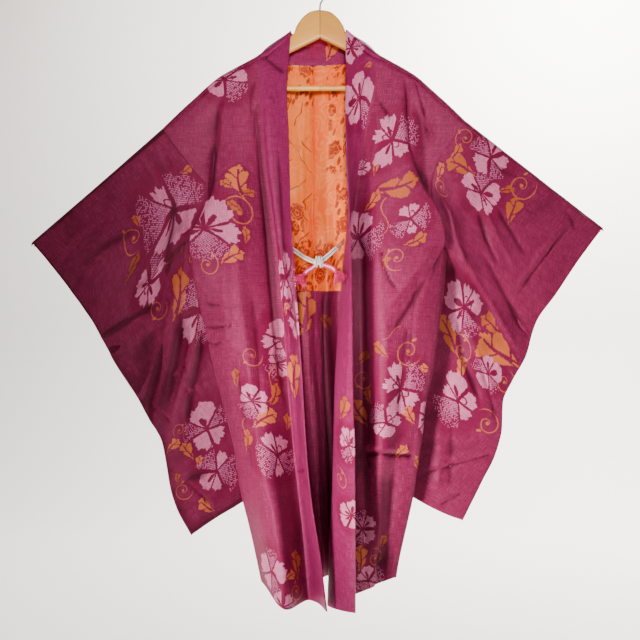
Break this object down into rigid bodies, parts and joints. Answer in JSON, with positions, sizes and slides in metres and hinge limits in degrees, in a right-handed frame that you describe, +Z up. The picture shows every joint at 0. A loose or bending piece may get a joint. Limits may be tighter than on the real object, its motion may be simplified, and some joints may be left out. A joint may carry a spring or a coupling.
{
  "type": "haori jacket",
  "caption": "Patterned silk haori jacket with wide bag sleeves, open front, orange lining and tied cords, hanging on a wooden hanger.",
  "frame": {"origin": "inside of the crown of the hanger's hook, where the hanger hangs", "axes": "+Z up, +X to the wearer's left, -Y the garment's front, +Y its back"},
  "size_m": [1.059, 0.1408, 1.1329],
  "materials": {
    "silk": "magenta silk with a woven flower pattern, soft sheen",
    "collar_silk": "the same silk, folded as a band",
    "lining_silk": "orange figured silk, smooth sheen",
    "wood": "pale varnished wood",
    "steel": "plain steel wire",
    "braid": "white braided cord with a mauve line",
    "tassel": "magenta silk thread"
  },
  "bodies": {
    "root": {"front_right": "silk", "front_left": "silk", "back_right": "silk", "back_left": "silk", "gusset_right": "silk", "gusset_left": "silk", "sleeve_right": "silk", "sleeve_left": "silk", "collar_right": "collar_silk", "collar_left": "collar_silk", "lining_right": "lining_silk", "lining_left": "lining_silk", "hanger_wood": "wood", "hanger_bar": "wood", "hanger_hook": "steel", "loop_right": "braid", "loop_left": "braid", "tie_right": "braid", "tie_left": "braid", "tie_knot": "braid", "tail_right": "tassel", "tail_left": "tassel", "tassel_right": "tassel", "tassel_left": "tassel"}
  },
  "joints": []
}
